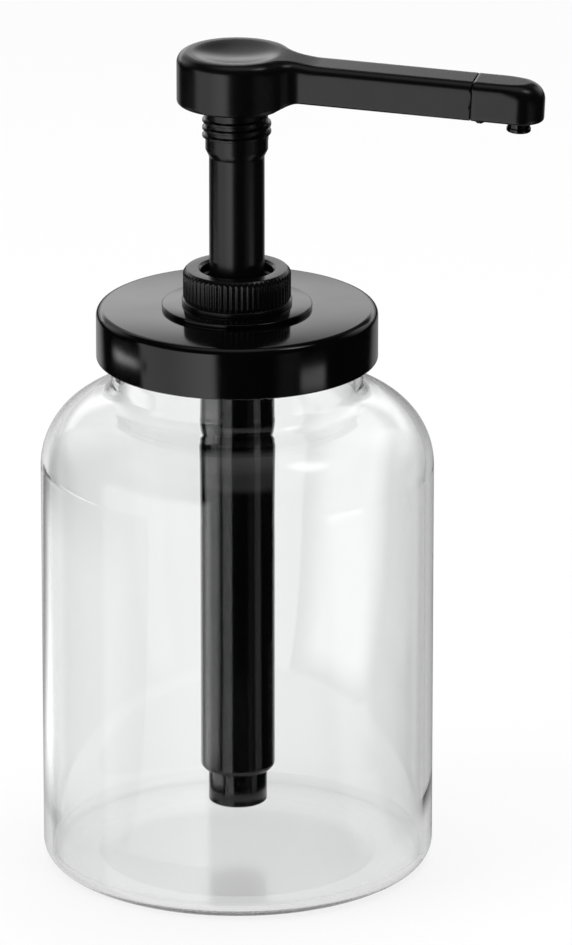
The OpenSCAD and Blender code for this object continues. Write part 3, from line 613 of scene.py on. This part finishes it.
def coil(lo, hi, wire, turns, closed_pitch, steps=24, sides=10):
    """Spring between two heights, with a closed turn at each end."""
    r, rise = hi[0] - wire / 2, hi[2] - lo[2] - wire
    open_pitch = (rise - 2 * closed_pitch) / (turns - 2)
    verts = []
    for i in range(turns * steps + 1):
        t = i / steps
        if t < 1:
            z = closed_pitch * t
        elif t > turns - 1:
            z = rise - closed_pitch * (turns - t)
        else:
            z = closed_pitch + open_pitch * (t - 1)
        for k in range(sides):
            b = TAU * k / sides
            w = r + wire / 2 * cos(b)
            verts.append((w * cos(TAU * t), w * sin(TAU * t),
                          lo[2] + wire / 2 * (1 + sin(b)) + z))
    faces = []
    for i in range(turns * steps):
        for k in range(sides):
            a, b = sides * i + k, sides * i + (k + 1) % sides
            faces.append((a, a + sides, b + sides, b))
    last = sides * turns * steps
    faces.append(tuple(range(sides)))
    faces.append(tuple(last + k for k in reversed(range(sides))))
    return verts, faces


spring = new_object(
    "coil_spring", coil(SPRING_LO, SPRING_HI, SPRING_WIRE, SPRING_TURNS, SPRING_END_PITCH),
    "pump_lid", "steel", ["return_spring"])
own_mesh(spring)


# Pump head

def step(v, a, b):
    """Smooth rise from 0 at a to 1 at b."""
    t = np.clip((v - a) / (b - a), 0, 1)
    return t * t * (3 - 2 * t)


def rounded_cut(u, v, r):
    """Where two faces meet, with a rounded edge of radius r."""
    du, dv = u + r, v + r
    return np.minimum(np.maximum(du, dv), 0) + np.hypot(np.maximum(du, 0), np.maximum(dv, 0)) - r


def plan(x, y):
    """Distance outside the head's outline seen from above: pad, arm and the hollow corners."""
    y = np.abs(y)
    half = ARM_W / 2
    pad = np.hypot(x, y) - PAD_R
    arm = np.where(x > 0, y - half, 1e3)
    reach = PAD_R + ARM_FILLET_R
    cx, cy = sqrt(reach ** 2 - (half + ARM_FILLET_R) ** 2), half + ARM_FILLET_R
    px, py = x - cx, y - cy
    corner = ARM_FILLET_R - np.hypot(px, py)
    in_corner = (px <= 0) & (py <= 0) & (py * cx <= px * cy)
    off_axis = np.hypot(x, y) > 2
    return np.where(in_corner & off_axis, corner, np.minimum(pad, arm))


def head_top(x, y):
    """Height of the pad's dished top, which runs into the arm's sloping top."""
    r = np.hypot(x, y)
    arm_z = ARM_TOP_Z - np.maximum(x, 0) * tan(ARM_SLOPE)
    ball = (DISH_R ** 2 + DISH_H ** 2) / (2 * DISH_H)
    dish = np.maximum(0, DISH_H - (ball - np.sqrt(np.maximum(ball ** 2 - r ** 2, 1))))
    soft = np.log1p(np.exp(np.clip((dish - DISH_LIP) / DISH_SOFT, -30, 30))) * DISH_SOFT
    on_pad = 1 - step(x, *TOP_RUN)
    return (PAD_TOP_Z - soft) * on_pad + arm_z * (1 - on_pad)


def head_bottom(x):
    """Height of the pad's underside, which steps up to the arm's."""
    arm_z = ARM_TOP_Z - ARM_H - np.maximum(x, 0) * tan(ARM_SLOPE)
    on_arm = step(x, *LOW_RUN)
    return PAD_BOTTOM_Z * (1 - on_arm) + arm_z * on_arm


def head_field(x, y, z):
    """Distance outside the head: pad and arm, cut off square at the cap's seam."""
    edge = PAD_EDGE_R + (ARM_EDGE_R - PAD_EDGE_R) * step(x, *EDGE_RUN)
    side = rounded_cut(plan(x, y), z - head_top(x, y), edge)
    d = rounded_cut(side, head_bottom(x) - z, ARM_LOW_EDGE_R)
    along = x * cos(ARM_SLOPE) - (z - ARM_TOP_Z) * sin(ARM_SLOPE)
    return rounded_cut(d, along - (SEAM_X - SEAM_PLAY), SEAM_EDGE_R)


def boss_mesh():
    """Threaded boss under the pad, which locks the pushed-down head."""
    low, sunk = BOSS_BOTTOM_Z, PAD_BOTTOM_Z + BOSS_SINK
    return thread_grid(BOSS_R, low + BOSS_LEAD, sunk, low + LOCK_UP, LOCK_TURNS,
                       [(BOSS_BORE_R, low), (STEM_R, low), (STEM_R + 0.15, low + 0.35)],
                       [(BOSS_BORE_R, sunk)])


def stem_profile():
    """Half section of the stem: snap end, stop shoulder and shaft."""
    low, top = STEM_LO[2], BOSS_BOTTOM_Z + 0.2
    return rounded([
        (STUB_BORE_R, low, 0), (STUB_R, low, 0), (SNAP_R, low + SNAP_LOW, 0),
        (SNAP_R, low + SNAP_TOP, 0), (STUB_R, low + SNAP_TOP, 0), (STUB_R, STOP_LOW_Z, 0),
        (STOP_R, STOP_LOW_Z, 0.2), (STOP_R, STOP_TOP_Z, 0.2), (STEM_R, STOP_TOP_Z, 0),
        (STEM_R, top, 0), (STEM_BORE_R, top, 0), (STEM_BORE_R, STOP_TOP_Z, 0),
        (STUB_BORE_R, STOP_LOW_Z, 0)])


HEAD_SIDE, HEAD_ROOM = 18.2, 1.5
new_object("head_shell",
           surface_net(head_field, (-HEAD_SIDE, -HEAD_SIDE, PAD_BOTTOM_Z - HEAD_ROOM),
                       (SEAM_X + HEAD_ROOM, HEAD_SIDE, PAD_TOP_Z + HEAD_ROOM), NET_STEP),
           "head", "satin_black", ["pump_head"], sharp=40)
new_object("lock_boss", boss_mesh(), "head", "satin_black", sharp=50)
new_object("stem_tube", lathe(stem_profile(), segments=128), "head", "satin_black",
           ["stem"])


# Nozzle cap

def cap_field(x, y, z):
    """Distance outside the cap in the arm's frame: x along the arm, z = 0 at its top."""
    past_end = np.maximum(x - CAP_END_X, 0)
    side = np.hypot(past_end, y) - ARM_W / 2
    edge = ARM_EDGE_R + CAP_CROWN_R * step(x, CAP_END_X - CAP_CROWN_RUN,
                                           CAP_END_X + CAP_CROWN_RUN)
    d = rounded_cut(rounded_cut(side, z, edge), -ARM_H - z, ARM_LOW_EDGE_R)
    d = rounded_cut(d, (SEAM_X + SEAM_PLAY) - x, SEAM_EDGE_R)
    grip = np.hypot(x - SEAM_X - GRIP_X, z + ARM_H - GRIP_UP) - GRIP_R
    grip = np.maximum(grip, np.abs(y) - GRIP_HALF_W)
    h = np.clip(0.5 + 0.5 * (grip - d) / GRIP_BLEND, 0, 1)
    return grip * (1 - h) + d * h - GRIP_BLEND * h * (1 - h)


def tip_profile():
    """Half section of the outlet tip, in the arm's frame."""
    low, top = -ARM_H - TIP_SHOW, -ARM_H + 0.4
    neck_r = TIP_R - TIP_STEP
    return rounded([
        (TIP_BORE_R, low, 0.3), (TIP_R, low, 0.5), (TIP_R, low + 1.1, 0.2),
        (neck_r, low + 1.4, 0.2), (neck_r, top, 0), (TIP_BORE_R, top, 0)])


def in_arm(shape, along=0):
    """Turns a shape from the arm's frame into the part's, moved along the arm first."""
    verts, faces = shape
    c, s = cos(ARM_SLOPE), sin(ARM_SLOPE)
    moved = [(x + along, y, z) for x, y, z in verts]
    return [(x * c + z * s, y, ARM_TOP_Z - x * s + z * c) for x, y, z in moved], faces


CAP_SIDE, CAP_ROOM, CAP_LOW_ROOM = 8.4, 1.2, 2
cap_net = surface_net(cap_field, (SEAM_X - CAP_ROOM, -CAP_SIDE, -ARM_H - CAP_LOW_ROOM),
                      (CAP_END_X + CAP_SIDE, CAP_SIDE, CAP_ROOM), NET_STEP)
new_object("spout_cap", in_arm(cap_net), "cap", "satin_black", ["nozzle_cap"], sharp=40)
new_object("spout_tip", in_arm(lathe(tip_profile(), segments=96), along=CAP_END_X), "cap",
           "gloss_black", ["nozzle_tip"])


# Studio

def stage_plane(name, corners):
    """Flat four-cornered piece of the studio."""
    mesh = bpy.data.meshes.new(name)
    mesh.from_pydata(corners, [], [(0, 1, 2, 3)])
    obj = bpy.data.objects.new(name, mesh)
    bpy.context.collection.objects.link(obj)
    return obj


def square(half, z):
    """Corners of a level square round the origin."""
    return [(-half, -half, z), (half, -half, z), (half, half, z), (-half, half, z)]


def stage_floor():
    """Pale floor: bright to the camera, plain to light, and open to reflections."""
    obj = stage_plane("studio_floor", square(FLOOR_HALF, 0))
    mat = bpy.data.materials.new("studio_floor")
    g, out = blank(mat, "ShaderNodeOutputMaterial")
    shader = g.new("ShaderNodeBsdfPrincipled")
    shader.inputs["Base Color"].default_value = (0.9, 0.9, 0.9, 1)
    shader.inputs["Roughness"].default_value = 0.7
    shader.inputs["Specular IOR Level"].default_value = 0.0
    path = g.new("ShaderNodeLightPath").outputs
    glow = g.new("ShaderNodeEmission")
    g.link(g.one_minus(g.times(path["Is Transmission Ray"], GLASS_SHADE)),
           glow.inputs["Strength"])
    clear = g.new("ShaderNodeBsdfTransparent")
    direct = g.times(g.below(path["Glossy Depth"], 0.5), g.below(path["Diffuse Depth"], 0.5))
    seen = g.most(path["Is Camera Ray"], path["Is Transmission Ray"])
    shown = g.mix(g.times(seen, direct, FLOOR_GLOW), shader.outputs["BSDF"],
                  glow.outputs["Emission"])
    surface = g.mix(g.above(path["Glossy Depth"], 0.5), shown, clear.outputs["BSDF"])
    g.link(surface, out.inputs["Surface"])
    obj.data.materials.append(mat)


def only_reflected(obj, light_of):
    """Gives a card its light, which only reflections see, and leaves it clear for the rest."""
    mat = bpy.data.materials.new(obj.name)
    g, out = blank(mat, "ShaderNodeOutputMaterial")
    path = g.new("ShaderNodeLightPath").outputs
    light = light_of(g, *g.axes("Object"), path["Transmission Depth"])
    on = g.times(g.above(light, 0.001), g.above(path["Glossy Depth"], 0.5))
    glow = g.new("ShaderNodeEmission")
    g.link(light, glow.inputs["Strength"])
    clear = g.new("ShaderNodeBsdfTransparent")
    g.link(g.mix(on, clear.outputs["BSDF"], glow.outputs["Emission"]), out.inputs["Surface"])
    obj.data.materials.append(mat)
    obj.visible_camera = False
    obj.visible_diffuse = False
    obj.visible_shadow = False


def table_cards(half, height, cards):
    """Bright parts of the table, each for rays that passed through few or many faces of glass."""
    obj = stage_plane("studio_cards", square(half, height))

    def light(g, x, y, z, faces):
        az = g.azimuth(x, y)
        reach = g.math("SQRT", g.plus(g.times(x, x), g.times(y, y)))
        return g.most(*[
            g.times(g.between(az, *card["az"]), g.between(reach, *card["reach"]),
                    g.above(faces, card["faces"][0] - 0.5),
                    g.below(faces, card["faces"][1] + 0.5), card["level"])
            for card in cards])

    only_reflected(obj, light)


def back_card(away, half, low, top):
    """Backdrop behind the object, brightest low down and to the left."""
    c, s = cos(PHI), sin(PHI)
    obj = stage_plane("studio_back", [
        (u * c - away * s, u * s + away * c, z)
        for u, z in ((-half, low), (half, low), (half, top), (-half, top))])

    def light(g, x, y, z, faces):
        right = g.plus(g.times(x, c), g.times(y, s))
        fade = g.plus(0.74, g.times(g.step(right, -0.01, 0.08), 0.22))
        up = g.one_minus(g.times(g.step(z, 0.36, 0.45), fade))
        down = g.plus(0.4, g.times(g.step(z, 0.26, 0.34), 0.6))
        across = g.one_minus(g.times(g.step(right, -0.07, 0.11), 0.18))
        return g.times(up, down, across, g.below(faces, 0.5), 1.75)

    only_reflected(obj, light)


# Azimuth and reach are (from, to, softness), in degrees and in metres from the jar's axis.
# Faces are the fewest and most glass faces that a ray passed through before its reflection.
ANY = (0, 99)
TABLE_CARDS = [
    # Soft patch at the left of the lid's wall
    dict(az=(-114, -84, 8), reach=(0.493, 0.545, 0.006), faces=(0, 0), level=3.2),
    # Streak on the right, strong on the lid and faint down the jar
    dict(az=(52, 74, 3), reach=(0.40, 0.54, 0.02), faces=ANY, level=1.4),
    dict(az=(54, 76, 4), reach=(0.06, 0.40, 0.02), faces=ANY, level=0.45),
    # Soft reflected glow in the jar's wall on the left, from a card that only reflections see
    dict(az=(-143, -64, 14), reach=(0.09, 0.36, 0.06), faces=(1, 3), level=1.7),
    # Streak down the left of the tube, behind two walls' faces
    dict(az=(-112, -58, 12), reach=(0.07, 0.40, 0.02), faces=(4, 99), level=2.4),
    # Light round the heel
    dict(az=(-182, 182, 1), reach=(-0.02, 0.08, 0.01), faces=(1, 3), level=0.8),
]
stage_floor()
back_card(away=0.6, half=0.5, low=0.2, top=0.9)
table_cards(half=0.9, height=0.00005, cards=TABLE_CARDS)


def studio_world():
    """Surroundings: cards that reflections see, and even light for everything else."""
    world = bpy.data.worlds.new("studio")
    bpy.context.scene.world = world
    g, out = blank(world, "ShaderNodeOutputWorld")
    background = g.new("ShaderNodeBackground")
    path = g.new("ShaderNodeLightPath").outputs
    x, y, z = g.axes("Generated")
    az = g.azimuth(x, y)
    el = g.times(g.math("ARCSINE", z), 180 / pi)
    side = g.math("ABSOLUTE", az)
    left = g.below(az, 0)
    through = g.above(path["Transmission Depth"], 0.5)
    open_air = g.one_minus(through)
    open_back = g.plus(0.42, g.times(left, 0.23))
    glass_back = g.plus(0.8, g.times(left, 0.42))
    left_level = g.plus(1.2, g.times(g.step(az, -62, -20), 0.75))
    steep = g.plus(g.step(el, 30, 45), g.one_minus(g.step(el, -45, -30)))
    pattern = g.most(
        # Tall soft box in front on the left, and a dim one on the right
        g.times(g.between(az, -85, -17, 3), g.between(el, -60, 16, 8), left_level),
        g.times(g.between(az, 34, 52, 6), g.between(el, -60, 2, 6), 0.13),
        # Behind and below, which edges reflect
        g.times(g.step(side, 136, 152), g.between(el, -60, -8, 6), open_back, open_air),
        g.times(g.step(side, 136, 152), g.between(el, -60, 8, 10), glass_back, through),
        # Behind and above
        g.times(g.step(side, 100, 140), g.between(el, 8, 36, 8), open_air),
        g.times(g.step(side, 100, 140), g.between(el, 8, 50, 10), through, 1.7),
        # Small high lamp on the right, and the ceiling
        g.times(g.between(az, 62, 86, 8), g.between(el, 52, 68, 6), 4.0),
        g.times(g.step(el, 55, 80), 0.5),
        # Steep views inside the glass
        g.times(steep, through, 0.6),
        0.01)
    mirrored = g.above(path["Glossy Depth"], 0.5)
    scattered = g.above(path["Diffuse Depth"], 0.5)
    plain = g.one_minus(g.times(path["Is Transmission Ray"], 0.07))
    level = g.plus(g.times(mirrored, pattern), g.times(g.one_minus(mirrored), plain))
    level = g.plus(g.times(scattered, 0.5), g.times(g.one_minus(scattered), level))
    g.link(level, background.inputs["Strength"])
    g.link(background.outputs["Background"], out.inputs["Surface"])


def area(name, place, size, power):
    """Square lamp aimed at the jar, which no view or reflection shows."""
    lamp = bpy.data.lights.new(name, "AREA")
    lamp.shape = "RECTANGLE"
    lamp.size, lamp.size_y = size, size
    lamp.energy = power
    obj = bpy.data.objects.new(name, lamp)
    bpy.context.collection.objects.link(obj)
    obj.location = place
    obj.rotation_euler = (Vector(LAMP_AIM) - Vector(place)).to_track_quat("-Z", "Y").to_euler()
    obj.visible_glossy = False
    obj.visible_camera = False
    obj.visible_transmission = False


def studio_camera():
    """Long lens from the right of the front, looking down."""
    cam = bpy.data.cameras.new("camera")
    cam.sensor_fit = "VERTICAL"
    cam.sensor_height = CAMERA_SENSOR
    cam.lens = CAMERA_LENS
    cam.clip_end = 20
    obj = bpy.data.objects.new("camera", cam)
    bpy.context.collection.objects.link(obj)
    obj.location = CAMERA_AT
    obj.rotation_euler = (radians(90 - LOOK_DOWN), 0, PHI)
    bpy.context.scene.camera = obj


studio_world()
area("key_box", (-0.9, -0.6, 1.1), 0.9, 9)
area("top_box", (0.1, 0.3, 1.5), 1.2, 14)
area("fill_box", (1.0, -0.9, 0.8), 0.9, 4)
studio_camera()
bpy.context.scene.view_settings.view_transform = "Standard"
